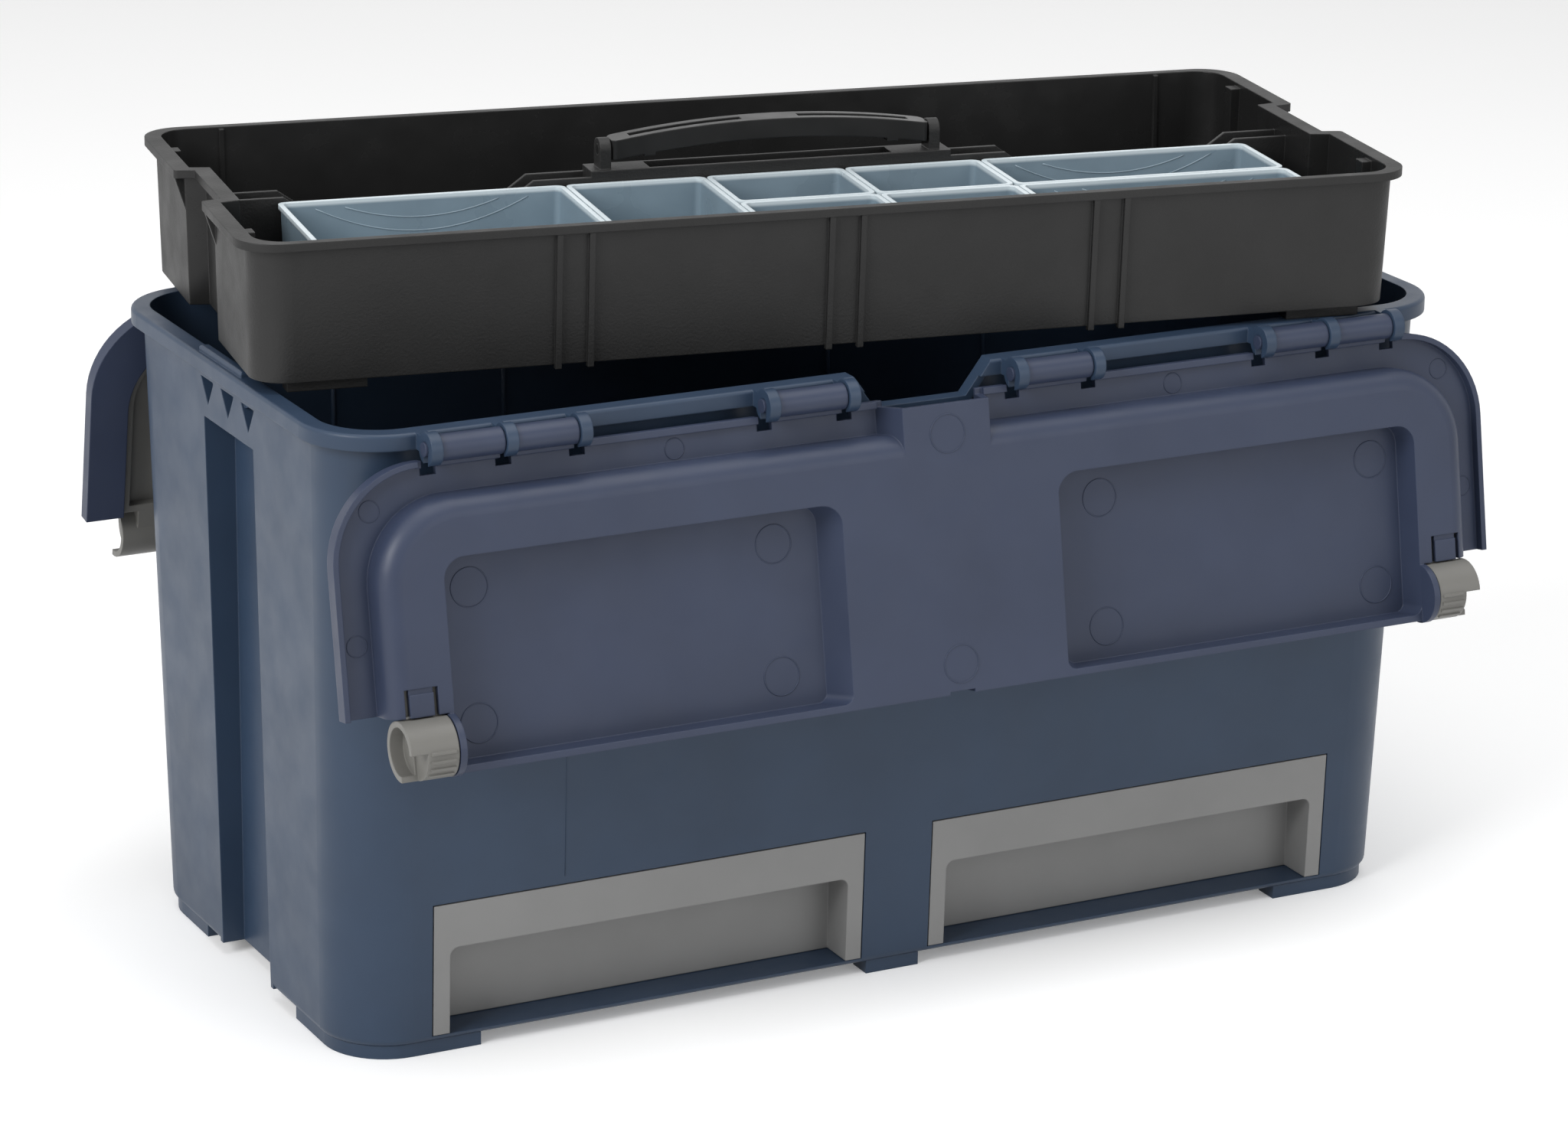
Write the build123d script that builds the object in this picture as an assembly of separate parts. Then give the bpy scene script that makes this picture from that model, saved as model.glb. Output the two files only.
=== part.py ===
from build123d import *
import os

# Case, in millimetres: X runs along the length, the front faces -Y, the feet stand on Z = 0.
rim_length = 540.0
rim_depth = 255.2
rim_corner = 34.5
case_height = 279.3
foot_height = 6.0
end_draft = 4.4
side_draft = 8.55
base_corner = 30.4
base_edge_radius = 3.0
wall = 3.0
flange_overhang = 5.3
flange_thickness = 3.0
flange_edge_radius = 1.6
skirt_height = 7.0
skirt_wall = 2.2
rib = 2.5
overcut = 1.0

# Finger notch in the middle of both long rims.
notch_floor_length = 44.0
notch_slope_run = 11.0
notch_clearance = 0.6
notch_setback = 2.0

# Feet: four curved corner feet, and blocks under the middle of both long sides.
foot_inset = 2.0
foot_width = 12.0
corner_foot_reach = 62.0
middle_foot_length = 26.0

# Channel in each end wall, and the three triangular pockets over it.
channel_width = 56.0
channel_depth = 14.0
channel_below_rim = 30.3
pocket_width = 15.0
pocket_pitch = 23.0
pocket_height = 13.0
pocket_depth = 4.4
pocket_wall = 1.4
pocket_gap = 6.0

# Catch on each end rim: a raised tab, and two pegs inside it that the handles' hooks turn round.
tab_width = 48.0
tab_height = 2.6
tab_setback = 1.0
peg_radius = 5.0
peg_below_rim = 10.0

# Drawers and their bays.
drawer_end_inset = 39.1
drawer_height = 59.1
drawer_back_gap = 26.4
drawer_wall = 2.2
drawer_band = 20.0
drawer_leg = 7.5
drawer_recess = 19.0
drawer_corner = 4.0
front_draft = 1.0
post_width = 34.0
base_plate = 2.5
bay_clearance = 0.6
bay_glide = 0.3

# Snap hinges: the ears belong to the case, the barrels and rods to the lids.
hinge_out = 9.0
hinge_below_rim = 4.6
ears_from_middle = [40.5, 78.0]
ears_from_end = [106.0, 73.0, 39.6]
ear_width = 5.0
ear_radius = 7.0
ear_mouth = 5.0
barrel_radius = 5.6
barrel_gap = 0.4
rod_radius = 3.0
rod_clearance = 0.05
rod_overrun = 1.0
web_start = 2.2
web_end = 7.4
web_foot = 1.5

# Lids, drawn closed and then turned about the hinge.
open_angle = 260.0
lid_wall = 2.6
lid_gap = 0.7
lid_meeting_gap = 10.0
lid_end_overlap = 6.0
lid_corner = 40.0
lid_hinge_edge = 4.8
hinge_bar_width = 3.0
hinge_bar_height = 2.0
lip_wall = 2.4
lip_height = 6.8
trough_drop = 15.1
trough_wall = 2.2
trough_end_clearance = 1.3
trough_side_clearance = 1.5
trough_corner = 35.0
trough_edge_radius = 9.0
tongue_length = 41.4
tongue_slope = 5.0
tongue_from_hinge = 7.3
panel_inner = 52.0
panel_end_inset = 37.0
panel_from_hinge = 43.5
panel_corner = 4.0
panel_hinge_corner = 9.0
panel_depth = 12.5
panel_inner_slope = 6.4
panel_outer_slope = 1.7
window_reach = 11.0
window_clearance = 1.0
free_edge_rib = 3.0
catch_length = 12.0
clip_width = 10.6
clip_length = 11.7
clip_slit = 2.0
clip_step = 2.2
clip_step_depth = 0.8

# Carrying handles: a U-shaped bail on two barrels with hooks.
pivot_from_middle = 17.0
pivot_under_hinge = 7.35
pivot_radius = 12.75
barrel_ridged_length = 13.6
barrel_hook_length = 7.2
hook_wall = 2.55
stub_radius = 6.0
stub_length = 12.0
stub_clearance = 0.05
boss_radius = 13.2
boss_length = 2.9
boss_gap = 0.5
handle_clearance = 0.6
handle_swing_clearance = 1.5
handle_rest_gap = 0.5
handle_thickness = 11.0
handle_edge_radius = 6.0
handle_groove = 4.5
handle_rib = 3.2
handle_inner_corner = 9.0
ridge_angles = [-88, -72, -56, -40]
ridge_width = 1.3
ridge_height = 0.7

# Lift-out tray, drawn about its own middle and then set askew on the rim.
tray_end_clearance = 6.1
tray_side_clearance = 12.6
tray_corner = 16.0
tray_height = 60.5
tray_foot = 5.1
tray_wall = 2.4
tray_floor = 2.4
tray_draft_x = 1.0
tray_draft_y = 3.0
bead_width = 2.0
bead_height = 3.6
end_overhang = 5.0
tray_notch_width = 60.0
tray_notch_depth = 8.7
gusset_height = 19.5
gusset_wall = 2.0
end_post_width = 7.0
end_post_out = 4.6
end_post_drop = 2.0
end_post_at = 75.0
guide_width = 2.0
guide_out = 1.0
guide_from_end = 32.0
guide_drop = 1.0
tray_rib_pitch = 119.2
tray_rib_pair = 14.0
tray_rib_width = 2.6
tray_rib_out = 2.0
tray_rib_overrun = 1.6
tray_foot_length = 34.0
tray_foot_width = 9.0
tray_foot_front_inset = 5.0
tray_foot_rear_inset = 20.0
tray_foot_end_inset = 14.0
divider_wall = 1.8
divider_front = -3.4
divider_spacing = 14.4
divider_end_drop = 7.0
divider_dip_drop = 21.0
divider_rise_drop = 6.5
divider_end_run = 26.0
divider_slope_run = 20.0
divider_rise_run = 26.0
block_length = 166.0
block_drop = 3.8
block_recess_inset = 27.0
block_recess_depth = 14.0
tray_x = -4.45
tray_y = 7.12
tray_yaw = -9.3

# Folding grip on the tray's block.
grip_end_inset = 10.0
grip_rise = 10.3
grip_width = 12.0
grip_height = 8.6
grip_end_radius = 3.0
grip_pin_radius = 2.4
grip_pin_clearance = 0.05
grip_pivot_height = 8.2
grip_groove_width = 4.6
grip_groove_depth = 4.6
grip_bridge = 26.0
grip_lug_length = 5.0
grip_lug_inset = 17.0
grip_lug_drop = 3.0
lug_thickness = 5.0
lug_gap = 0.4
lug_radius = 5.0

# Translucent inserts: unit boxes in a grid, some two units long or two rows deep.
insert_end_play = 20.1
insert_front_play = 2.9
insert_height = 49.4
insert_wall = 1.4
insert_gap = 0.6
insert_draft = 1.6
insert_rim = 0.8
insert_corner = 4.0
insert_rim_height = 2.0
insert_layout = [(0, 2, 0, 2), (2, 1, 0, 2), (3, 1, 1, 1), (4, 1, 1, 1), (5, 2, 1, 1),
                 (3, 1, 0, 1), (4, 1, 0, 1), (5, 2, 0, 1)]
insert_columns = 7
insert_rows = 2

# Sizes worked out from the ones above.
wall_length = rim_length - 2 * flange_overhang
wall_depth = rim_depth - 2 * flange_overhang
wall_corner = rim_corner - flange_overhang
base_length = wall_length - 2 * end_draft
base_depth = wall_depth - 2 * side_draft
bay_floor = foot_height + base_plate
drawer_bottom = bay_floor + bay_glide
bay_roof = drawer_bottom + drawer_height + bay_clearance
main_floor = bay_roof + wall
channel_top = case_height - channel_below_rim
drawer_inner_end = post_width / 2
drawer_outer_end = base_length / 2 - drawer_end_inset
hinge_y = rim_depth / 2 + hinge_out
hinge_z = case_height - hinge_below_rim
ear_centres = ears_from_middle + [rim_length / 2 - inset for inset in ears_from_end]
ear_a, ear_b, ear_c, ear_d, ear_e = ear_centres
barrel_spans = [(ear_a, ear_b), (ear_c, ear_d), (ear_d, ear_e)]
rim_inner_x = wall_length / 2 - wall
rim_inner_y = wall_depth / 2 - wall
strip_bottom = case_height + lid_gap
strip_top = strip_bottom + lid_wall
plateau_bottom = strip_bottom - trough_drop
trough_floor = plateau_bottom + lid_wall
notch_depth = case_height - plateau_bottom + notch_clearance
lid_half = rim_length / 2 + lid_end_overlap
lid_free_edge = -lid_meeting_gap / 2
trough_half = rim_inner_x - trough_end_clearance
trough_edge = trough_side_clearance - rim_inner_y
panel_outer = rim_length / 2 - panel_end_inset
panel_start = panel_from_hinge - hinge_y
panel_end = lid_free_edge - free_edge_rib
panel_ceiling = plateau_bottom + panel_depth
pivot_y = -pivot_from_middle
pivot_z = hinge_z - pivot_under_hinge
boss_end = panel_outer + boss_length
pivot_inner = boss_end + boss_gap
hook_start = pivot_inner + barrel_ridged_length
pivot_outer = hook_start + barrel_hook_length
barrel_cut_y = pivot_y - pivot_radius - handle_clearance
tray_length = 2 * (rim_inner_x - tray_end_clearance)
tray_depth = 2 * (rim_inner_y - tray_side_clearance)
tray_base_z = case_height + tray_foot
grip_length = block_length - 2 * grip_end_inset
insert_end = tray_length / 2 - tray_notch_depth - tray_draft_x - tray_wall - insert_end_play
insert_unit = 2 * insert_end / insert_columns
insert_row = (tray_depth / 2 - tray_wall + divider_front - insert_front_play) / insert_rows


def span(x0, x1, y0, y1, z0, z1):
    """Box between two corners."""
    return Pos((x0 + x1) / 2, (y0 + y1) / 2, (z0 + z1) / 2) * Box(x1 - x0, y1 - y0, z1 - z0)


def prism(sketch, z0, z1):
    """Sketch in the XY plane, raised from z0 to z1."""
    return extrude(Pos(0, 0, z0) * sketch, amount=z1 - z0)


def rod_x(x0, x1, y, z, radius):
    """Round rod along X."""
    return Pos((x0 + x1) / 2, y, z) * Rot(0, 90, 0) * Cylinder(radius, x1 - x0)


def profile_x(points, x0, x1):
    """Closed outline of (y, z) points, swept along X."""
    outline = Polyline(*[(x0, y, z) for y, z in points], close=True)
    return extrude(make_face(outline), amount=x1 - x0, dir=(1, 0, 0))


def profile_y(points, y0, y1):
    """Closed outline of (x, z) points, swept along Y."""
    outline = Polyline(*[(x, y0, z) for x, z in points], close=True)
    return extrude(make_face(outline), amount=y1 - y0, dir=(0, 1, 0))


def both_ends(shape):
    """A shape and its mirror image in the YZ plane."""
    return shape + mirror(shape, about=Plane.YZ)


def both_sides(shape):
    """A shape and its mirror image in the XZ plane."""
    return shape + mirror(shape, about=Plane.XZ)


def hinge_side_rounded(half_length, y0, y1, radius):
    """Rectangle whose two corners at y0 are rounded."""
    sketch = Pos(0, (y0 + y1) / 2) * Rectangle(2 * half_length, y1 - y0)
    return fillet(sketch.vertices().sort_by(Axis.Y)[:2], radius)


def case_size(z):
    """Length, depth and corner radius of the drafted case wall at a height."""
    rise = (z - foot_height) / (case_height - foot_height)
    length = base_length + rise * (wall_length - base_length)
    depth = base_depth + rise * (wall_depth - base_depth)
    return length, depth, base_corner + rise * (wall_corner - base_corner)


def case_section(z, inset):
    """Outline of the case wall at a height, drawn in by an inset."""
    length, depth, corner = case_size(z)
    return Pos(0, 0, z) * RectangleRounded(length - 2 * inset, depth - 2 * inset, corner - inset)


def case_block(z0, z1, inset):
    """Drafted block inside the case wall."""
    return loft([case_section(z0, inset).face(), case_section(z1, inset).face()])


def make_rim():
    """Flange with a skirt all round, stepping down through the finger notches."""
    rim = RectangleRounded(rim_length, rim_depth, rim_corner)
    plate = prism(rim, case_height - skirt_height, case_height)
    plate = fillet(plate.edges().group_by(Axis.Z)[-1], flange_edge_radius)
    inside = 2 * skirt_wall
    hollow = RectangleRounded(rim_length - inside, rim_depth - inside, rim_corner - skirt_wall)
    plate -= prism(hollow, case_height - skirt_height - overcut, case_height - flange_thickness)
    floor_z = case_height - notch_depth
    half = notch_floor_length / 2
    top_half = half + notch_slope_run
    frame = [(-top_half - rib, case_height - flange_edge_radius), (-half - rib, floor_z - rib),
             (half + rib, floor_z - rib), (top_half + rib, case_height - flange_edge_radius)]
    return plate + both_sides(profile_y(frame, notch_setback - rim_depth / 2, -rim_inner_y))


def notch_cut():
    """Opening of the finger notches, through both long walls."""
    half = notch_floor_length / 2
    top_half = half + notch_slope_run
    floor_z = case_height - notch_depth
    over = overcut * notch_slope_run / notch_depth
    points = [(-top_half - over, case_height + overcut), (-half, floor_z),
              (half, floor_z), (top_half + over, case_height + overcut)]
    return profile_y(points, -rim_depth, rim_depth)


def make_ears():
    """Snap-hinge ears along the front rim, open downwards."""
    ears = Part()
    for centre in ear_centres:
        x0 = centre - ear_width / 2
        x1 = centre + ear_width / 2
        ear = rod_x(x0, x1, -hinge_y, hinge_z, ear_radius)
        ear += span(x0, x1, -hinge_y, -rim_depth / 2 + skirt_wall, case_height - skirt_height, case_height)
        ear -= rod_x(x0 - overcut, x1 + overcut, -hinge_y, hinge_z, rod_radius + rod_clearance)
        mouth = ear_mouth / 2
        ear -= span(x0 - overcut, x1 + overcut, -hinge_y - mouth, -hinge_y + mouth,
                    hinge_z - ear_radius - overcut, hinge_z)
        ears += both_ends(ear)
    return ears


def make_feet():
    """Curved corner feet and the middle feet."""
    ring = case_section(foot_height, foot_inset) - case_section(foot_height, foot_inset + foot_width)
    ring = extrude(ring, amount=-foot_height)
    reach_x = base_length / 2 - corner_foot_reach
    reach_y = base_depth / 2 - corner_foot_reach
    corners = both_sides(both_ends(span(reach_x, rim_length, reach_y, rim_depth, 0, foot_height)))
    half = middle_foot_length / 2
    middles = span(-half, half, -rim_depth, rim_depth, 0, foot_height)
    return ring & (corners + middles)


def make_case_shell():
    shell = case_block(foot_height, case_height, 0)
    shell = fillet(shell.edges().group_by(Axis.Z)[0], base_edge_radius)
    shell += make_rim()
    shell -= case_block(main_floor, case_height + overcut, wall)
    # Inward bulges behind the end channels and the pockets.
    end_x = case_size(channel_top)[0] / 2
    bulge_half = channel_width / 2 + wall
    bulge_x = end_x - channel_depth - wall
    channel_bulge = span(bulge_x, rim_length, -bulge_half, bulge_half, 0, channel_top + wall)
    pocket_top = channel_top + pocket_gap + pocket_height
    pocket_x = end_x - pocket_depth - pocket_wall
    pocket_bulge = span(pocket_x, rim_length, -bulge_half, bulge_half, 0, pocket_top)
    bulge = channel_bulge + pocket_bulge
    shell += both_ends(bulge) & case_block(foot_height, case_height, 0)
    # Hollows under the main floor, beside and between the drawer bays, open below.
    side = drawer_outer_end + bay_clearance + wall
    ends = both_ends(span(side, rim_length, -rim_depth, rim_depth, 0, bay_roof) - bulge)
    middle_half = drawer_inner_end - bay_clearance - wall
    middle = span(-middle_half, middle_half, -rim_depth, rim_depth, 0, bay_roof)
    shell -= case_block(foot_height - overcut, bay_roof, wall) & (ends + middle)
    # Drawer bays.
    bay = span(drawer_inner_end - bay_clearance, drawer_outer_end + bay_clearance,
               -rim_depth, base_depth / 2 - wall, bay_floor, bay_roof)
    shell -= both_ends(bay)
    # End channels and pockets.
    channel_half = channel_width / 2
    channel = span(end_x - channel_depth, rim_length, -channel_half, channel_half, 0, channel_top)
    pocket_foot = channel_top + pocket_gap
    pocket_half = pocket_width / 2
    pocket_head = pocket_top - pocket_wall
    for y in (-pocket_pitch, 0, pocket_pitch):
        outline = [(y - pocket_half, pocket_head), (y + pocket_half, pocket_head), (y, pocket_foot)]
        channel += profile_x(outline, end_x - pocket_depth, rim_length)
    shell -= both_ends(channel)
    shell -= notch_cut()
    ears = make_ears()
    shell += ears
    shell += Rot(0, 0, 180) * ears
    shell += make_feet()
    # Catch tabs with their pegs.
    tab_half = tab_width / 2
    tab_x = rim_length / 2 - flange_edge_radius - tab_setback
    tab = span(rim_inner_x + tab_setback, tab_x, -tab_half, tab_half,
               case_height - flange_thickness / 2, case_height + tab_height)
    tab = fillet(tab.edges().group_by(Axis.Z)[-1], tab_height / 2)
    peg_z = case_height - peg_below_rim
    peg = rod_x(hook_start + 2 * hook_wall, rim_inner_x + wall / 2, pivot_y, peg_z, peg_radius)
    shell += both_ends(both_sides(peg))
    return shell + both_ends(tab)


def lid_knuckles():
    """Hinge barrels with their webs, and the rods that the ears hold."""
    knuckles = Part()
    half = ear_width / 2
    for first, last in barrel_spans:
        x0 = first + half + barrel_gap
        x1 = last - half - barrel_gap
        knuckle = rod_x(x0, x1, -hinge_y, hinge_z, barrel_radius)
        web = [(-hinge_y, hinge_z), (-hinge_y, hinge_z + barrel_radius), (web_start - hinge_y, strip_top),
               (web_end - hinge_y, strip_top), (web_end - hinge_y, hinge_z + web_foot)]
        knuckle += profile_x(web, x0, x1)
        rod_reach = ear_width + barrel_gap + rod_overrun
        knuckle += rod_x(x0 - rod_reach, x1 + rod_reach, -hinge_y, hinge_z, rod_radius)
        knuckles += both_ends(knuckle)
    return knuckles


def uprights(block):
    """Corner edges of a block, those towards the hinge first."""
    return block.edges().filter_by(Axis.X, reverse=True).filter_by(Axis.Y, reverse=True).sort_by(Axis.Y)


def panel_block(grow, ceiling):
    """The two raised panels of a lid, grown by a wall, with sloping ends."""
    rise = (ceiling - plateau_bottom) / panel_depth
    x0 = panel_inner - grow
    x1 = panel_outer + grow
    points = [(x0, plateau_bottom), (x1, plateau_bottom),
              (x1 - rise * panel_outer_slope, ceiling), (x0 + rise * panel_inner_slope, ceiling)]
    block = profile_y(points, panel_start - grow, panel_end + grow)
    block = fillet(uprights(block)[2:], panel_corner + grow)
    return both_ends(fillet(uprights(block)[:2], panel_hinge_corner + grow))


def round_foot(block, radius):
    """Round the bottom edges of a block, all but the one towards the middle of the case."""
    return fillet(block.edges().group_by(Axis.Z)[0].sort_by(Axis.Y)[:-1], radius)


def make_lid():
    """Front lid, closed: a plate with a trough for the handle and two raised panels."""
    hinge_edge = lid_hinge_edge - hinge_y
    outline = hinge_side_rounded(lid_half, hinge_edge, lid_free_edge, lid_corner)
    plate = prism(outline, strip_bottom, strip_top)
    lip_zone = both_ends(span(lid_half - lid_corner, lid_half, hinge_edge, lid_free_edge, 0, strip_top))
    lip = prism(outline - offset(outline, -lip_wall), strip_top - lip_height, strip_top)
    lid = plate + (lip & lip_zone)
    # Trough for the handle, with the tongue that leaves through the rim's notch.
    outside = hinge_side_rounded(trough_half, trough_edge, lid_free_edge, trough_corner)
    lid += round_foot(prism(outside, plateau_bottom, strip_top), trough_edge_radius)
    inside = hinge_side_rounded(trough_half - trough_wall, trough_edge + trough_wall, overcut,
                                trough_corner - trough_wall)
    hollow = round_foot(prism(inside, trough_floor, strip_top + overcut), trough_edge_radius - trough_wall)
    foot_half = tongue_length / 2
    top_half = foot_half + tongue_slope
    tongue_end = trough_edge + trough_wall + trough_edge_radius
    tongue = [(-foot_half, plateau_bottom), (foot_half, plateau_bottom), (top_half, strip_bottom),
              (top_half, strip_top), (-top_half, strip_top), (-top_half, strip_bottom)]
    lid += profile_y(tongue, tongue_from_hinge - hinge_y, tongue_end)
    lid -= hollow
    slot = [(trough_wall - foot_half, trough_floor), (foot_half - trough_wall, trough_floor),
            (top_half - trough_wall, strip_top + overcut), (trough_wall - top_half, strip_top + overcut)]
    lid -= profile_y(slot, -2 * hinge_y, tongue_end)
    # Stiffening bar along the hinge edge, the panels, and the wall along the free edge.
    lid += both_ends(span(top_half, lid_half - lid_corner, hinge_edge, hinge_edge + hinge_bar_width,
                          strip_bottom - hinge_bar_height, strip_top))
    lid += panel_block(trough_wall, panel_ceiling + lid_wall)
    lid -= panel_block(0, panel_ceiling)
    lid += span(-panel_outer, panel_outer, panel_end, lid_free_edge, plateau_bottom, strip_top)
    # Room for the handle's barrels at the free corners, and the stubs they turn on.
    lid -= both_ends(span(panel_outer + trough_wall, lid_half + overcut, barrel_cut_y, overcut,
                          0, 2 * case_height))
    boss = rod_x(panel_outer, boss_end, pivot_y, pivot_z, boss_radius)
    boss += rod_x(panel_outer, boss_end + stub_length, pivot_y, pivot_z, stub_radius)
    lid += both_ends(boss)
    # Spring clips cut free over the barrels, and the catch in the free edge.
    clip_x = (pivot_inner + pivot_outer) / 2
    clip_y = barrel_cut_y - clip_length
    for edge in (-1, 1):
        x = clip_x + edge * (clip_width + clip_slit) / 2
        lid -= both_ends(span(x - clip_slit / 2, x + clip_slit / 2, clip_y, barrel_cut_y + overcut,
                              0, trough_floor + overcut))
    lid -= both_ends(span(clip_x - clip_width / 2, clip_x + clip_width / 2, clip_y, clip_y + clip_step,
                          0, plateau_bottom + clip_step_depth))
    half = catch_length / 2
    lid -= span(-half, half, lid_free_edge - free_edge_rib / 2, overcut, 0, strip_bottom)
    # Windows for the ears, and the hinge itself.
    for centre in ear_centres:
        reach = ear_width / 2 + window_clearance
        lid -= both_ends(span(centre - reach, centre + reach,
                              -2 * hinge_y, window_reach - hinge_y, 0, strip_top + overcut))
    return lid + lid_knuckles()


def make_handle():
    """Front carrying handle, lying in the closed front lid."""
    outer = trough_half - trough_wall - handle_clearance
    inner = panel_outer + trough_wall + handle_clearance
    y0 = trough_edge + trough_wall + handle_clearance
    y1 = panel_start - trough_wall - handle_swing_clearance
    corner = trough_corner - trough_wall - handle_clearance
    z0 = trough_floor + handle_rest_gap
    z1 = z0 + handle_thickness
    arm_end = pivot_y - boss_radius - handle_clearance
    handle = round_foot(prism(hinge_side_rounded(outer, y0, arm_end, corner), z0, z1), handle_edge_radius)
    handle -= prism(hinge_side_rounded(inner, y1, arm_end + overcut, handle_inner_corner), 0, z1 + overcut)
    groove = hinge_side_rounded(outer - handle_rib, y0 + handle_rib, arm_end - handle_rib,
                                corner - handle_rib)
    groove -= hinge_side_rounded(inner + handle_rib, y1 - handle_rib, arm_end,
                                 handle_inner_corner + handle_rib)
    handle -= prism(groove, z1 - handle_groove, z1 + overcut)
    handle += both_ends(span(pivot_inner, hook_start, arm_end - handle_rib, pivot_y, z0, z1))
    barrel = rod_x(pivot_inner, pivot_outer, pivot_y, pivot_z, pivot_radius)
    for angle in ridge_angles:
        ridge = span(pivot_inner + ridge_width, hook_start - ridge_width, 0, pivot_radius + ridge_height,
                     -ridge_width / 2, ridge_width / 2)
        barrel += Pos(0, pivot_y, pivot_z) * Rot(angle, 0, 0) * ridge
    hook_end = pivot_outer + overcut
    barrel -= rod_x(hook_start + hook_wall / 2, hook_end, pivot_y, pivot_z, pivot_radius - hook_wall)
    mouth = pivot_radius + overcut
    barrel -= span(hook_start, hook_end, pivot_y, pivot_y + mouth, pivot_z - mouth, pivot_z)
    handle += both_ends(barrel)
    bore = rod_x(pivot_inner - overcut, pivot_inner + stub_length, pivot_y, pivot_z,
                 stub_radius + stub_clearance)
    return handle - both_ends(bore)


def opened(shape, rear):
    """Turn a closed front piece about the hinge, for the front or the rear side."""
    turned = shape.rotate(Axis((0, -hinge_y, hinge_z), (1, 0, 0)), open_angle)
    return turned.rotate(Axis.Z, 180) if rear else turned


def make_drawer():
    """Right drawer: an open box behind a front with a finger recess."""
    x0 = drawer_inner_end
    x1 = drawer_outer_end
    z0 = drawer_bottom
    z1 = drawer_bottom + drawer_height
    front_y = -case_size(z1)[1] / 2
    back = base_depth / 2 - wall - drawer_back_gap
    recess_y = front_y + drawer_recess
    front = span(x0, x1, -rim_depth, recess_y + drawer_wall, z0, z1)
    front &= case_block(foot_height, case_height, 0)
    recess = span(x0 + drawer_leg, x1 - drawer_leg, -2 * rim_depth, recess_y, z0 - overcut, z1 - drawer_band)
    front -= fillet(recess.edges().filter_by(Axis.Y).group_by(Axis.Z)[-1], drawer_corner)
    box = span(x0, x1, recess_y, back, z0, z1 - drawer_wall)
    box -= span(x0 + drawer_wall, x1 - drawer_wall, recess_y + drawer_wall, back - drawer_wall,
                z0 + drawer_wall, z1)
    # The band over the recess is hollow, open above.
    behind = front_y + drawer_wall + front_draft
    front -= span(x0 + drawer_leg, x1 - drawer_leg, behind, recess_y,
                  z1 - drawer_band + drawer_wall, z1 + overcut)
    return front + box


def tray_outline(z, inset):
    """Outline of the tray at a height over its base, with the end notches."""
    flare = z / tray_height
    half = tray_length / 2 - tray_draft_x * (1 - flare) - inset
    depth = tray_depth - 2 * tray_draft_y * (1 - flare) - 2 * inset
    outline = RectangleRounded(2 * half, depth, tray_corner - inset)
    mouth = tray_notch_width / 2 + inset
    bottom = mouth - tray_notch_depth / 4
    deep = half - tray_notch_depth
    corners = [(half + overcut, mouth), (deep, bottom), (deep, -bottom), (half + overcut, -mouth)]
    notch = make_face(Polyline(*corners, close=True))
    return Pos(0, 0, z) * (outline - notch - mirror(notch, about=Plane.YZ))


def tray_block(z0, z1, inset):
    """Drafted block with the tray's outline."""
    return loft([tray_outline(z0, inset).face(), tray_outline(z1, inset).face()])


def make_dividers():
    """Twin divider walls with a stepped top, either side of the handle block."""
    top_end = tray_length / 2 - tray_notch_depth - tray_wall / 2
    foot_end = top_end - tray_draft_x
    end = top_end - tray_draft_x * divider_end_drop / tray_height
    shelf = end - divider_end_run
    dip = shelf - divider_slope_run
    foot = block_length / 2 + divider_rise_run + divider_slope_run
    crest = block_length / 2 + divider_rise_run
    half = [(end, tray_height - divider_end_drop), (shelf, tray_height - divider_end_drop),
            (dip, tray_height - divider_dip_drop), (foot, tray_height - divider_dip_drop),
            (crest, tray_height - divider_rise_drop)]
    points = [(foot_end, 0)] + half + [(-x, z) for x, z in reversed(half)] + [(-foot_end, 0)]
    walls = Part()
    for y in (divider_front, divider_front + divider_spacing - divider_wall):
        walls += profile_y(points, y, y + divider_wall)
    return walls


def make_rim_bead():
    """Bead round the tray's rim, standing out further at both ends."""
    bead = offset(tray_outline(tray_height, 0), bead_width)
    reach = end_overhang - bead_width
    return prism(bead + Pos(reach, 0) * bead + Pos(-reach, 0) * bead, -bead_height, 0)


def make_end_pieces(outer):
    """Posts inside both ends of the tray, and gussets under its rim beside the notches."""
    end = tray_length / 2
    half = end_post_width / 2
    post = span(end - tray_wall - end_post_out, end, end_post_at - half, end_post_at + half,
                0, tray_height - end_post_drop)
    root = end - tray_wall / 2
    top = tray_height - bead_height / 2
    outline = [(root, top), (end + end_overhang, top), (root, top - gusset_height)]
    edge = tray_notch_width / 2
    gusset = profile_y(outline, edge, edge + gusset_wall)
    return both_ends(both_sides((post & outer) + gusset))


def make_wall_ribs():
    """Upright ribs in pairs outside both long walls, and thin guides inside them."""
    ribs = Part()
    for x in (-tray_rib_pitch, 0, tray_rib_pitch):
        for edge in (-1, 1):
            centre = x + edge * tray_rib_pair / 2
            ribs += span(centre - tray_rib_width / 2, centre + tray_rib_width / 2,
                         -tray_depth, tray_depth, -tray_rib_overrun, tray_height)
    ribs &= tray_block(-tray_rib_overrun, tray_height, -tray_rib_out)
    ribs -= tray_block(-tray_rib_overrun - overcut, tray_height + overcut, tray_wall / 2)
    guide_x = tray_length / 2 - guide_from_end
    guides = both_ends(span(guide_x - guide_width / 2, guide_x + guide_width / 2,
                            -tray_depth, tray_depth, tray_floor, tray_height - guide_drop))
    guides &= tray_block(0, tray_height, tray_wall / 2)
    guides -= tray_block(0, tray_height, tray_wall + guide_out)
    return ribs + guides


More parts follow.
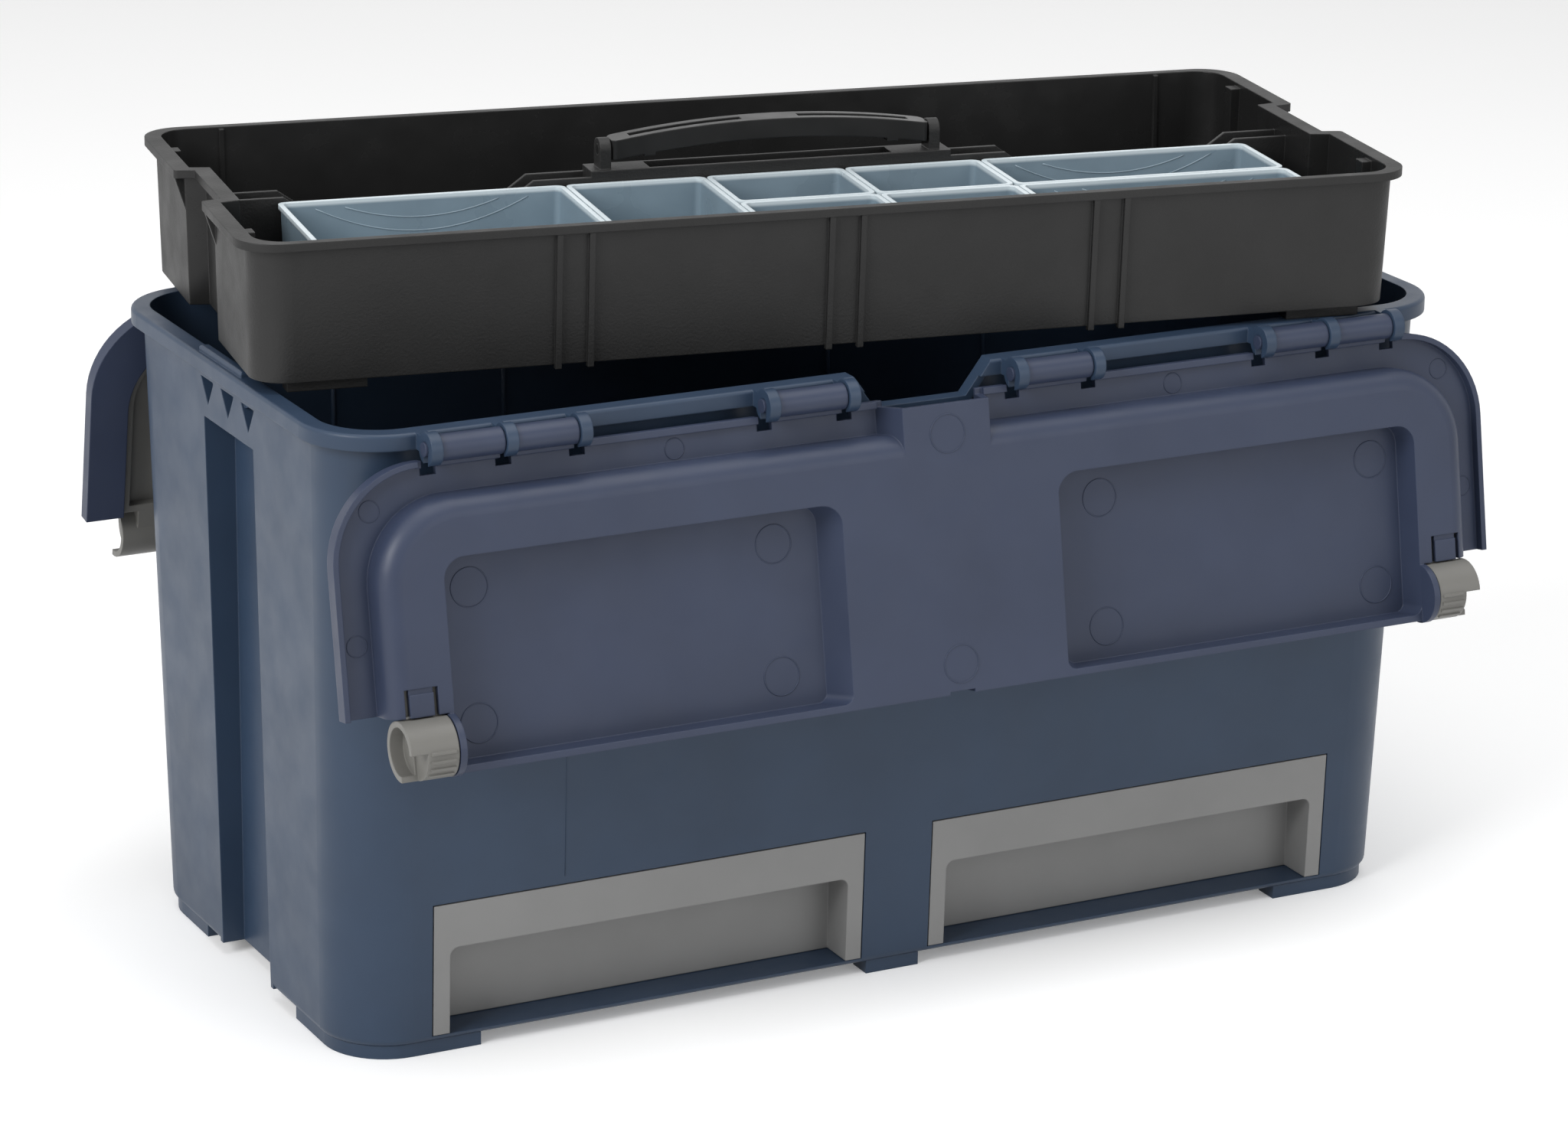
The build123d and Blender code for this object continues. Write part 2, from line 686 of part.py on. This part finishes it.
def make_tray():
    outer = tray_block(0, tray_height, 0)
    tray = outer + make_rim_bead()
    tray -= tray_block(tray_floor, tray_height + overcut, tray_wall)
    tray += make_end_pieces(outer)
    tray += make_dividers()
    # Hollow block that carries the grip, with a finger recess in its top.
    half = block_length / 2
    back = divider_front + divider_spacing
    top = tray_height - block_drop
    tray += span(-half, half, divider_front, back, 0, top)
    recess_half = half - block_recess_inset
    recess_z = top - block_recess_depth
    inner_y = (divider_front + divider_wall, back - divider_wall)
    tray -= span(-recess_half, recess_half, *inner_y, recess_z, top + overcut)
    tray -= span(divider_wall - half, half - divider_wall, *inner_y, -overcut, recess_z - divider_wall)
    lug_x = grip_length / 2 + lug_gap
    lug_y = (divider_front + back) / 2
    pivot = top + grip_pivot_height
    lug = rod_x(lug_x, lug_x + lug_thickness, lug_y, pivot, lug_radius)
    lug += span(lug_x, lug_x + lug_thickness, lug_y - lug_radius, lug_y + lug_radius, top - overcut, pivot)
    lug -= rod_x(lug_x - overcut, lug_x + lug_thickness + overcut, lug_y, pivot,
                 grip_pin_radius + grip_pin_clearance)
    tray += both_ends(lug)
    tray += make_wall_ribs()
    # Low feet near the corners, further in at the rear.
    foot_x = tray_length / 2 - tray_draft_x - tray_foot_end_inset
    base_y = tray_depth / 2 - tray_draft_y
    front_y = tray_foot_front_inset - base_y
    rear_y = base_y - tray_foot_rear_inset - tray_foot_width
    for y in (front_y, rear_y):
        foot = span(foot_x - tray_foot_length, foot_x, y, y + tray_foot_width, -tray_foot, tray_floor)
        tray += both_ends(foot)
    return tray


def arch(half, low_end, low_crown, high_end, high_crown):
    """Face between two arcs over the same span, in the XZ plane."""
    lower = ThreePointArc((-half, 0, low_end), (0, 0, low_crown), (half, 0, low_end))
    upper = ThreePointArc((half, 0, high_end), (0, 0, high_crown), (-half, 0, high_end))
    right = Line((half, 0, low_end), (half, 0, high_end))
    left = Line((-half, 0, high_end), (-half, 0, low_end))
    return make_face([lower, right, upper, left])


def make_grip():
    """Arched grip with a grooved top and end pins, drawn about its pivot axis."""
    half = grip_length / 2
    thick = grip_height / 2
    grip = extrude(arch(half, -thick, grip_rise - grip_height, thick, grip_rise), grip_width / 2, both=True)
    grip = fillet(grip.edges().filter_by(Axis.Z), grip_end_radius)
    groove_half = half - grip_height
    floor_end = thick - grip_groove_depth
    groove = extrude(arch(half, floor_end, grip_rise - grip_groove_depth, grip_rise, 2 * grip_rise),
                     grip_groove_width / 2, both=True)
    groove &= both_ends(span(grip_bridge / 2, groove_half, -grip_width, grip_width,
                             -grip_rise, 3 * grip_rise))
    grip -= groove
    lug_at = half - grip_lug_inset
    lug = span(lug_at - grip_lug_length / 2, lug_at + grip_lug_length / 2,
               -grip_width / 2, 0, -grip_lug_drop, grip_rise / 2)
    grip += both_ends(lug)
    pin = rod_x(half - grip_pin_radius, half + lug_gap + lug_thickness, 0, 0, grip_pin_radius)
    return grip + both_ends(pin)


def make_insert(column, columns, row, rows):
    """Open translucent box, drafted towards its foot, with a thin rim."""
    length = columns * insert_unit - insert_gap
    depth = rows * insert_row - insert_gap
    shrink = 2 * insert_rim
    draft = 2 * insert_draft
    foot = RectangleRounded(length - shrink - draft, depth - shrink - draft, insert_corner)
    mouth = RectangleRounded(length - shrink, depth - shrink, insert_corner)
    box = loft([foot.face(), (Pos(0, 0, insert_height) * mouth).face()])
    rim = RectangleRounded(length, depth, insert_corner)
    box += prism(rim, insert_height - insert_rim_height, insert_height)
    inner_length = length - shrink - 2 * insert_wall
    inner_depth = depth - shrink - 2 * insert_wall
    inner_corner = insert_corner - insert_wall
    inner_foot = RectangleRounded(inner_length - draft, inner_depth - draft, inner_corner)
    inner_mouth = RectangleRounded(inner_length, inner_depth, inner_corner)
    inner_foot = Pos(0, 0, insert_wall) * inner_foot
    inner_mouth = Pos(0, 0, insert_height) * inner_mouth
    box -= loft([inner_foot.face(), inner_mouth.face()])
    x = (column + columns / 2 - insert_columns / 2) * insert_unit
    y = divider_front - insert_gap + (row + rows / 2 - insert_rows) * insert_row
    return Pos(x, y, tray_floor) * box


def on_rim(shape):
    """Set a piece of the tray askew on the rim."""
    return Pos(tray_x, tray_y, tray_base_z) * Rot(0, 0, tray_yaw) * shape


def save(name, shape):
    export_step(shape, os.path.join("parts", name + ".step"))


os.makedirs("parts", exist_ok=True)
save("case_shell", make_case_shell())
lid = make_lid()
handle = make_handle()
save("front_lid", opened(lid, rear=False))
save("rear_lid", opened(lid, rear=True))
save("front_handle", opened(handle, rear=False))
save("rear_handle", opened(handle, rear=True))
right_drawer = make_drawer()
save("right_drawer", right_drawer)
save("left_drawer", mirror(right_drawer, about=Plane.YZ))
save("tray", on_rim(make_tray()))
grip_y = divider_front + divider_spacing / 2
grip_z = tray_height - block_drop + grip_pivot_height
save("tray_handle", on_rim(Pos(0, grip_y, grip_z) * make_grip()))
for number, place in enumerate(insert_layout, start=1):
    save(f"insert_{number}", on_rim(make_insert(*place)))
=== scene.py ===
from math import cos, pi, radians, sin

import bmesh
import bpy
from mathutils import Matrix, Vector


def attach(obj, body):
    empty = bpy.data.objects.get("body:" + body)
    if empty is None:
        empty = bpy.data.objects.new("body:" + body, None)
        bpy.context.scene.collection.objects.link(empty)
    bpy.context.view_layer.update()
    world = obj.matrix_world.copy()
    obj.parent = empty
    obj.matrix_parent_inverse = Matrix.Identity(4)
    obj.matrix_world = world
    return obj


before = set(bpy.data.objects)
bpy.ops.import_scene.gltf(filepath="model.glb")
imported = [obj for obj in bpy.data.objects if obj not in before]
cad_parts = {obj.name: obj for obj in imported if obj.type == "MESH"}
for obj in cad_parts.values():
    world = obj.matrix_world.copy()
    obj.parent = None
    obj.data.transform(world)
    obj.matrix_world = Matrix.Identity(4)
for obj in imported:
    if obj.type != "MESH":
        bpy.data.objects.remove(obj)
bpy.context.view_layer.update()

MM = 0.001

# Camera: where it stands, how it is turned, and the lens.
CAMERA_AT = Vector((-1.0367, -1.9934, 0.8780))
CAMERA_AZIMUTH = -27.59
CAMERA_ELEVATION = 17.93
CAMERA_ROLL = 0.89
CAMERA_SENSOR = 36.0
CAMERA_LENS = 120.32
CAMERA_SHIFT = (-0.0043, 0.0021)
CAMERA_REACH = 50.0

# Studio, in metres and watts: each lamp's place, width and power, then the world and the floor.
LAMPS = (
    ("key", (-2.8, -1.0, 1.9), 1.6, 75.0),
    ("top", (0.2, -0.4, 2.8), 2.4, 45.0),
    ("fill", (1.2, -2.8, 1.2), 1.6, 16.0),
)
LAMP_AIM = Vector((0, 0, 0.18))
WHITE = (1, 1, 1, 1)
WORLD_LIGHT = 0.36
WORLD_SEEN = 1.0
FLOOR_HALF = 12.0
FLOOR_TONES = ((0.93, 0.93, 0.93, 1), (0.95, 0.95, 0.95, 1))
FLOOR_SCALE = 3.0
FLOOR_ROUGH = 0.9
FLOOR_SHINE = 0.1
FLOOR_GLOW = 0.2

# Case, in millimetres, as in the solids.
HINGE_Y = 136.6
HINGE_Z = 274.7
OPEN_ANGLE = 260.0
CASE_TOP = 279.3
FOOT_TOP = 6.0
BASE_HALF_DEPTH = 113.75
SIDE_DRAFT = 8.55
CASE_WALL = 3.0

# Ribs inside the case, and the moulding line on its front.
RIB_X = (-168.0, -84.0, 84.0, 168.0)
RIB_HEIGHTS = (80.0, 140.0, 200.0, 262.0)
RIB_RADIUS = 1.1
SEAM_X = -161.0
SEAM_HEIGHTS = (72.0, 120.0, 180.0, 240.0)
SEAM_RADIUS = 0.22

# Undersides of a closed lid, the panels' reach, and the ejector marks on them.
STRIP_Z = 280.0
PLATEAU_Z = 264.9
PANEL_Z = 277.4
PANEL_X = (58.4, 231.3)
PANEL_Y = (-93.1, -8.0)
PANEL_MARK_X = (PANEL_X[0] + 20.5, PANEL_X[1] - 14.0)
PANEL_MARK_Y = (PANEL_Y[0] + 15.0, PANEL_Y[1] - 14.0)
PLATEAU_MARK_Y = (-116.5, -18.0)
STRIP_MARKS = ((120.0, -123.0), (257.2, -113.8), (267.0, -60.0))
MARK_RADIUS = 8.2
MARK_BEAD = 0.30
STRIP_MARK_RADIUS = 4.4
STRIP_MARK_BEAD = 0.25

# Tray and its loose boxes.
TRAY_AT = (-4.45, 7.12, 284.4)
TRAY_YAW = -9.3
TRAY_FLOOR = 2.4
TRAY_HEIGHT = 60.5
TRAY_RIM = (260.6, 108.7)
TRAY_CORNER = 18.0
TRAY_CORNER_STEPS = 12
TRAY_NOTCH = 33.0
TRAY_BEAD = 0.45
INSERT_COLUMNS = 7
INSERT_ROWS = 2
INSERT_UNIT = 63.83
INSERT_ROW = 49.0
INSERT_GAP = 0.6
INSERT_HEIGHT = 49.4
INSERT_WALL = 2.2
INSERT_DRAFT = 1.6
INSERT_BACK = -4.0

# Curved lines in three of the boxes: each box's first column, columns, first row and rows,
# and each line's half length, height of its ends, and sag.
LINED_INSERTS = ((1, (0, 2, 0, 2)), (5, (5, 2, 1, 1)), (8, (5, 2, 0, 1)))
BOWL_LINES = ((34.0, 46.0, 6.0), (47.0, 46.0, 12.0))
BOWL_STEPS = 12
BOWL_BEAD = 0.30

HINGE = Matrix.Translation((0, -HINGE_Y, HINGE_Z))
FRONT_LID = HINGE @ Matrix.Rotation(radians(OPEN_ANGLE), 4, "X") @ HINGE.inverted()
REAR_LID = Matrix.Rotation(pi, 4, "Z") @ FRONT_LID
TRAY = Matrix.Translation(TRAY_AT) @ Matrix.Rotation(radians(TRAY_YAW), 4, "Z")

# Colours, in linear light.
NAVY = (0.026, 0.045, 0.080)
LID_NAVY = (0.031, 0.041, 0.074)
DRAWER_GREY = (0.200, 0.200, 0.198)
HANDLE_GREY = (0.160, 0.157, 0.146)
BLACK = (0.014, 0.014, 0.014)
CLEAR = (0.23, 0.31, 0.37)
CLEAR_RIM = (0.62, 0.70, 0.74)

# Surfaces: noise scales in lumps per metre, edges in millimetres, the rest as shares.
CLOUD_SCALE = 22.0
HIGHLIGHT_BREAKUP_SCALE = 90.0
# Noise that breaks the painted edge highlight into patches, and its range.
HIGHLIGHT_BREAKUP_RANGE = (0.25, 1.0)
SMUDGE_SCALE = 60.0
SMUDGE_RANGE = (-0.05, 0.06)
EDGE_RADIUS = 0.7
EDGE_SAMPLES = 6
EDGE_TURN = (0.02, 0.3)
GRAIN_STRENGTH = 0.6
POLISH_SMOOTHING = 0.26
POLISH_GRAIN = 0.05
INWARD_LIMIT = -0.01
CLEAR_CLOUD_SCALE = 40.0
CLEAR_MOTTLE = 0.07
CLEAR_EDGE_RADIUS = 0.6
CLEAR_RIM_BAND = (2.4, 1.2)
CLEAR_ALPHA = (0.80, 0.96)
CLEAR_ROUGH = (0.24, 0.36)

BEAD_SIDES = 8
RING_STEPS = 40
OFF_AXIS = Vector((0.31, 0.52, 0.79))


def feed(tree, socket, value):
    """Link a socket to another, or set its value."""
    if isinstance(value, bpy.types.NodeSocket):
        tree.links.new(value, socket)
    else:
        socket.default_value = value


def node(tree, kind, **inputs):
    """A shader node; inputs are values or sockets, with _ for a space in a socket's name."""
    made = tree.nodes.new(kind)
    for name, value in inputs.items():
        feed(tree, made.inputs[name.replace("_", " ")], value)
    return made


def noise(tree, where, scale, detail=3.0):
    """Grey noise; scale is in lumps per metre."""
    made = node(tree, "ShaderNodeTexNoise", Vector=where, Scale=scale, Detail=detail)
    return made.outputs["Fac"]


def spread(tree, value, low, high, start=0.3, end=0.7):
    """A value from start to end, spread between two numbers."""
    limits = {"From_Min": start, "From_Max": end, "To_Min": low, "To_Max": high}
    made = node(tree, "ShaderNodeMapRange", Value=value, **limits)
    return made.outputs["Result"]


def mix_colour(tree, share, first, second):
    """Colour between two, by a 0 to 1 share."""
    made = tree.nodes.new("ShaderNodeMix")
    made.data_type = "RGBA"
    for socket, value in ((made.inputs[0], share), (made.inputs[6], first), (made.inputs[7], second)):
        feed(tree, socket, value)
    return made.outputs[2]


def operate(tree, kind, operation, first, second):
    """A math node of one kind on two values."""
    made = tree.nodes.new(kind)
    made.operation = operation
    for socket, value in zip(made.inputs, (first, second)):
        feed(tree, socket, value)
    return made.outputs


def math(tree, operation, first, second):
    return operate(tree, "ShaderNodeMath", operation, first, second)[0]


def dot(tree, first, second):
    return operate(tree, "ShaderNodeVectorMath", "DOT_PRODUCT", first, second)["Value"]


def seen_rays(tree):
    """1 for the rays that see a surface straight, through glass or mirrored, 0 for those that light."""
    path = tree.nodes.new("ShaderNodeLightPath").outputs
    straight = math(tree, "MAXIMUM", path["Is Camera Ray"], path["Is Transmission Ray"])
    return math(tree, "MAXIMUM", straight, path["Is Glossy Ray"])


def start_material(name):
    """New material with a plain shader; returns material, tree, shader and the place on the object."""
    material = bpy.data.materials.new(name)
    material.use_nodes = True
    tree = material.node_tree
    shader = tree.nodes["Principled BSDF"]
    where = tree.nodes.new("ShaderNodeTexCoord").outputs["Object"]
    return material, tree, shader, where


def shade(colour, factor):
    """Colour made lighter or darker, with full alpha."""
    return tuple(min(1.0, c * factor) for c in colour) + (1.0,)


def soft_edges(tree, radius):
    """Rounded normal near edges, and how much each point is an edge."""
    bevel = node(tree, "ShaderNodeBevel", Radius=radius)
    bevel.samples = EDGE_SAMPLES
    flat = tree.nodes.new("ShaderNodeNewGeometry").outputs["Normal"]
    turned = math(tree, "SUBTRACT", 1.0, dot(tree, bevel.outputs["Normal"], flat))
    return bevel.outputs["Normal"], spread(tree, turned, 0.0, 1.0, *EDGE_TURN)


def moulded_plastic(name, colour, rough, grain, depth, mottle=0.08, edge=1.5, shine=0.3, inside=None):
    """Moulded plastic: grain, cloudy colour and roughness, and a painted highlight that makes the edges a
    little paler.
    """
    material, tree, shader, where = start_material(name)
    shader.inputs["Specular IOR Level"].default_value = shine
    cloud = spread(tree, noise(tree, where, CLOUD_SCALE, 4.0), 0.0, 1.0)
    tint = mix_colour(tree, cloud, shade(colour, 1 - mottle), shade(colour, 1 + mottle))
    # Painted highlight: where the bevelled normal turns, the edges are painted paler, in patches.
    normal, highlight_edges = soft_edges(tree, EDGE_RADIUS * MM)
    painted_highlight = math(tree, "MULTIPLY", highlight_edges, spread(tree, noise(tree, where, HIGHLIGHT_BREAKUP_SCALE, 4.0), *HIGHLIGHT_BREAKUP_RANGE))
    tint = mix_colour(tree, painted_highlight, tint, shade(colour, edge))
    tree.links.new(tint, shader.inputs["Base Color"])
    low, high = (rough + change for change in SMUDGE_RANGE)
    smudge = spread(tree, noise(tree, where, SMUDGE_SCALE, 5.0), low, high)
    speckle = noise(tree, where, grain)
    if inside is not None:
        polish = inside(tree, where)
        smudge = math(tree, "SUBTRACT", smudge, math(tree, "MULTIPLY", polish, POLISH_SMOOTHING))
        speckle = math(tree, "MULTIPLY", speckle, spread(tree, polish, 1.0, POLISH_GRAIN, 0.0, 1.0))
    tree.links.new(smudge, shader.inputs["Roughness"])
    bump = node(tree, "ShaderNodeBump", Height=speckle, Normal=normal)
    bump.inputs["Strength"].default_value = GRAIN_STRENGTH
    bump.inputs["Distance"].default_value = depth * MM
    tree.links.new(bump.outputs["Normal"], shader.inputs["Normal"])
    return material


def tray_inside(tree, where):
    """1 on the walls and floor inside the tray, 0 outside."""
    normal = tree.nodes.new("ShaderNodeTexCoord").outputs["Normal"]
    yaw = radians(TRAY_YAW)
    middle = Vector(TRAY_AT) * MM
    facing = []
    for axis in (Vector((cos(yaw), sin(yaw), 0)), Vector((-sin(yaw), cos(yaw), 0))):
        out = math(tree, "SUBTRACT", dot(tree, where, axis), middle.dot(axis))
        facing.append(math(tree, "MULTIPLY", out, dot(tree, normal, axis)))
    inward = math(tree, "MINIMUM", *facing)
    return math(tree, "LESS_THAN", inward, INWARD_LIMIT)


def clear_plastic(name):
    """Milky translucent plastic, paler and denser along the rim and the edges."""
    material, tree, shader, where = start_material(name)
    cloud = spread(tree, noise(tree, where, CLEAR_CLOUD_SCALE), 0.0, 1.0)
    tint = mix_colour(tree, cloud, shade(CLEAR, 1 - CLEAR_MOTTLE), shade(CLEAR, 1 + CLEAR_MOTTLE))
    height = node(tree, "ShaderNodeSeparateXYZ", Vector=where).outputs["Z"]
    top = TRAY_AT[2] + TRAY_FLOOR + INSERT_HEIGHT
    start, end = ((top - below) * MM for below in CLEAR_RIM_BAND)
    rim = spread(tree, height, 0.0, 1.0, start, end)
    normal, edge = soft_edges(tree, CLEAR_EDGE_RADIUS * MM)
    pale = math(tree, "MAXIMUM", rim, edge)
    tree.links.new(mix_colour(tree, pale, tint, shade(CLEAR_RIM, 1.0)), shader.inputs["Base Color"])
    tree.links.new(spread(tree, pale, *CLEAR_ALPHA, 0.0, 1.0), shader.inputs["Alpha"])
    tree.links.new(spread(tree, cloud, *CLEAR_ROUGH, 0.0, 1.0), shader.inputs["Roughness"])
    tree.links.new(normal, shader.inputs["Normal"])
    return material


# Roughness, grain in lumps per metre, the grain's depth in millimetres, then any mottle and the factor of the
# painted edge highlight.
MATERIALS = {
    "case": moulded_plastic("navy_case", NAVY, 0.40, 2600.0, 0.05),
    "lid": moulded_plastic("navy_lid", LID_NAVY, 0.42, 3200.0, 0.03),
    "drawer": moulded_plastic("grey_drawer", DRAWER_GREY, 0.48, 2800.0, 0.04, 0.05, 1.2, shine=0.5),
    "handle": moulded_plastic("grey_handle", HANDLE_GREY, 0.42, 2800.0, 0.04, 0.06, 1.25),
    "tray": moulded_plastic("black_tray", BLACK, 0.50, 900.0, 0.22, 0.12, 2.2, inside=tray_inside),
    "grip": moulded_plastic("black_grip", BLACK, 0.34, 2600.0, 0.03, 0.12, 2.2),
    "clear": clear_plastic("clear_insert"),
}
NODE_MATERIALS = {
    "case_shell": "case",
    "front_lid": "lid",
    "rear_lid": "lid",
    "front_handle": "handle",
    "rear_handle": "handle",
    "left_drawer": "drawer",
    "right_drawer": "drawer",
    "tray": "tray",
    "tray_handle": "grip",
}
for name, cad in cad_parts.items():
    cad.data.materials.clear()
    cad.data.materials.append(MATERIALS[NODE_MATERIALS.get(name, "clear")])


def tube(mesh, points, radius, closed=False):
    """Thin round bead along a line of points."""
    points = [Vector(p) for p in points]
    count = len(points)
    turns = [2 * pi * k / BEAD_SIDES for k in range(BEAD_SIDES)]
    rings = []
    for i, point in enumerate(points):
        before = points[i - 1] if closed or i > 0 else point
        after = points[(i + 1) % count] if closed or i < count - 1 else point
        along = (after - before).normalized()
        side = along.cross(OFF_AXIS).normalized()
        across = along.cross(side)
        rings.append([mesh.verts.new(point + radius * (cos(t) * side + sin(t) * across)) for t in turns])
    for i in range(count if closed else count - 1):
        first, second = rings[i], rings[(i + 1) % count]
        for k in range(BEAD_SIDES):
            after = (k + 1) % BEAD_SIDES
            mesh.faces.new((first[k], first[after], second[after], second[k]))
    if not closed:
        mesh.faces.new(rings[0])
        mesh.faces.new(rings[-1])


def ring(mesh, x, y, z, radius, bead):
    """Thin round bead along a level circle."""
    turns = [2 * pi * k / RING_STEPS for k in range(RING_STEPS)]
    tube(mesh, [(x + radius * cos(t), y + radius * sin(t), z) for t in turns], bead, closed=True)


def add_piece(name, mesh, place, body, material):
    """Make an object of a mesh drawn in millimetres and hand it to a body."""
    mesh.transform(Matrix.Scale(MM, 4) @ place)
    bmesh.ops.recalc_face_normals(mesh, faces=mesh.faces)
    data = bpy.data.meshes.new(name)
    mesh.to_mesh(data)
    mesh.free()
    data.shade_smooth()
    data.materials.append(MATERIALS[material])
    piece = bpy.data.objects.new(name, data)
    bpy.context.scene.collection.objects.link(piece)
    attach(piece, body)


def lid_marks():
    """Round ejector marks on the underside of a closed lid."""
    mesh = bmesh.new()
    panel_marks = [(x, y) for x in PANEL_MARK_X for y in PANEL_MARK_Y]
    for end in (-1, 1):
        for x, y in panel_marks:
            ring(mesh, end * x, y, PANEL_Z, MARK_RADIUS, MARK_BEAD)
        for x, y in STRIP_MARKS:
            ring(mesh, end * x, y, STRIP_Z, STRIP_MARK_RADIUS, STRIP_MARK_BEAD)
    for y in PLATEAU_MARK_Y:
        ring(mesh, 0, y, PLATEAU_Z, MARK_RADIUS, MARK_BEAD)
    return mesh


def wall_y(z):
    """Half depth of the case's drafted wall at a height, on its outer face."""
    return BASE_HALF_DEPTH + SIDE_DRAFT * (z - FOOT_TOP) / (CASE_TOP - FOOT_TOP)


def inner_ribs():
    """Slim upright ribs inside both long walls of the case."""
    mesh = bmesh.new()
    for x in RIB_X:
        for side in (-1, 1):
            tube(mesh, [(x, side * (wall_y(z) - CASE_WALL), z) for z in RIB_HEIGHTS], RIB_RADIUS)
    return mesh


def front_seam():
    """Fine upright moulding line on the front wall."""
    mesh = bmesh.new()
    tube(mesh, [(SEAM_X, -wall_y(z), z) for z in SEAM_HEIGHTS], SEAM_RADIUS)
    return mesh


def tray_rim_line():
    """Fine bead round the outer edge of the tray's rim, between the end notches."""
    mesh = bmesh.new()
    x = TRAY_RIM[0] - TRAY_BEAD
    y = TRAY_RIM[1] - TRAY_BEAD
    z = TRAY_HEIGHT - TRAY_BEAD
    turns = [pi / 2 * k / TRAY_CORNER_STEPS for k in range(TRAY_CORNER_STEPS + 1)]
    for side in (-1, 1):
        corner = [(x - TRAY_CORNER * (1 - cos(t)), side * (y - TRAY_CORNER * (1 - sin(t))), z) for t in turns]
        right = [(x, side * TRAY_NOTCH, z)] + corner
        tube(mesh, right + [(-px, py, pz) for px, py, pz in reversed(right)], TRAY_BEAD)
    return mesh


def bowl_lines(column, columns, row, rows):
    """Two shallow curved lines on the rear wall inside a loose box."""
    mesh = bmesh.new()
    x = (column + columns / 2 - INSERT_COLUMNS / 2) * INSERT_UNIT
    back = INSERT_BACK + (row + rows - INSERT_ROWS) * INSERT_ROW - INSERT_GAP / 2 - INSERT_WALL
    for reach, high, sag in BOWL_LINES:
        line = []
        for k in range(-BOWL_STEPS, BOWL_STEPS + 1):
            z = high - sag * (1 - (k / BOWL_STEPS) ** 2)
            y = back - INSERT_DRAFT * (1 - z / INSERT_HEIGHT)
            line.append((x + reach * k / BOWL_STEPS, y, TRAY_FLOOR + z))
        tube(mesh, line, BOWL_BEAD)
    return mesh


add_piece("front_lid_marks", lid_marks(), FRONT_LID, "front_lid", "lid")
add_piece("rear_lid_marks", lid_marks(), REAR_LID, "rear_lid", "lid")
add_piece("case_inner_ribs", inner_ribs(), Matrix(), "case_shell", "case")
add_piece("case_front_seam", front_seam(), Matrix(), "case_shell", "case")
add_piece("tray_rim_line", tray_rim_line(), TRAY, "tray", "tray")
for number, place in LINED_INSERTS:
    add_piece(f"insert_{number}_lines", bowl_lines(*place), TRAY, f"insert_{number}", "clear")


def add_camera():
    """Camera at the photograph's place and angle."""
    azimuth = radians(CAMERA_AZIMUTH)
    elevation = radians(CAMERA_ELEVATION)
    roll = radians(CAMERA_ROLL)
    back = Vector((sin(azimuth) * cos(elevation), -cos(azimuth) * cos(elevation), sin(elevation)))
    level = Vector((0, 0, 1)).cross(back).normalized()
    upright = back.cross(level)
    right = cos(roll) * level + sin(roll) * upright
    up = -sin(roll) * level + cos(roll) * upright
    data = bpy.data.cameras.new("camera")
    data.sensor_fit = "HORIZONTAL"
    data.sensor_width = CAMERA_SENSOR
    data.lens = CAMERA_LENS
    data.shift_x, data.shift_y = CAMERA_SHIFT
    data.clip_end = CAMERA_REACH
    camera = bpy.data.objects.new("camera", data)
    turn = Matrix((right, up, back)).transposed().to_4x4()
    camera.matrix_world = Matrix.Translation(CAMERA_AT) @ turn
    bpy.context.scene.collection.objects.link(camera)
    bpy.context.scene.camera = camera


def add_lamp(name, at, width, power):
    """Square soft lamp aimed at the middle of the case."""
    data = bpy.data.lights.new(name, "AREA")
    data.shape = "RECTANGLE"
    data.size = width
    data.size_y = width
    data.energy = power
    lamp = bpy.data.objects.new(name, data)
    lamp.location = at
    lamp.rotation_euler = (LAMP_AIM - Vector(at)).to_track_quat("-Z", "Y").to_euler()
    bpy.context.scene.collection.objects.link(lamp)


def add_world():
    """Even dim light all round, seen as white."""
    world = bpy.data.worlds.new("studio")
    bpy.context.scene.world = world
    world.use_nodes = True
    tree = world.node_tree
    tree.nodes.clear()
    light = node(tree, "ShaderNodeBackground", Color=WHITE, Strength=WORLD_LIGHT)
    white = node(tree, "ShaderNodeBackground", Color=WHITE, Strength=WORLD_SEEN)
    mixed = node(tree, "ShaderNodeMixShader", Fac=seen_rays(tree))
    tree.links.new(light.outputs[0], mixed.inputs[1])
    tree.links.new(white.outputs[0], mixed.inputs[2])
    out = tree.nodes.new("ShaderNodeOutputWorld")
    tree.links.new(mixed.outputs[0], out.inputs["Surface"])


def add_floor():
    """Plain pale floor, glowing a little where it is seen."""
    mesh = bpy.data.meshes.new("floor")
    corners = [(x * FLOOR_HALF, y * FLOOR_HALF, 0) for x, y in ((-1, -1), (1, -1), (1, 1), (-1, 1))]
    mesh.from_pydata(corners, [], [(0, 1, 2, 3)])
    floor = bpy.data.objects.new("floor", mesh)
    bpy.context.scene.collection.objects.link(floor)
    material, tree, shader, where = start_material("pale_floor")
    shader.inputs["Roughness"].default_value = FLOOR_ROUGH
    shader.inputs["Specular IOR Level"].default_value = FLOOR_SHINE
    tint = mix_colour(tree, noise(tree, where, FLOOR_SCALE), *FLOOR_TONES)
    tree.links.new(tint, shader.inputs["Base Color"])
    shader.inputs["Emission Color"].default_value = WHITE
    glow = math(tree, "MULTIPLY", seen_rays(tree), FLOOR_GLOW)
    tree.links.new(glow, shader.inputs["Emission Strength"])
    mesh.materials.append(material)


add_camera()
add_world()
for lamp in LAMPS:
    add_lamp(*lamp)
add_floor()
bpy.context.scene.view_settings.view_transform = "Standard"
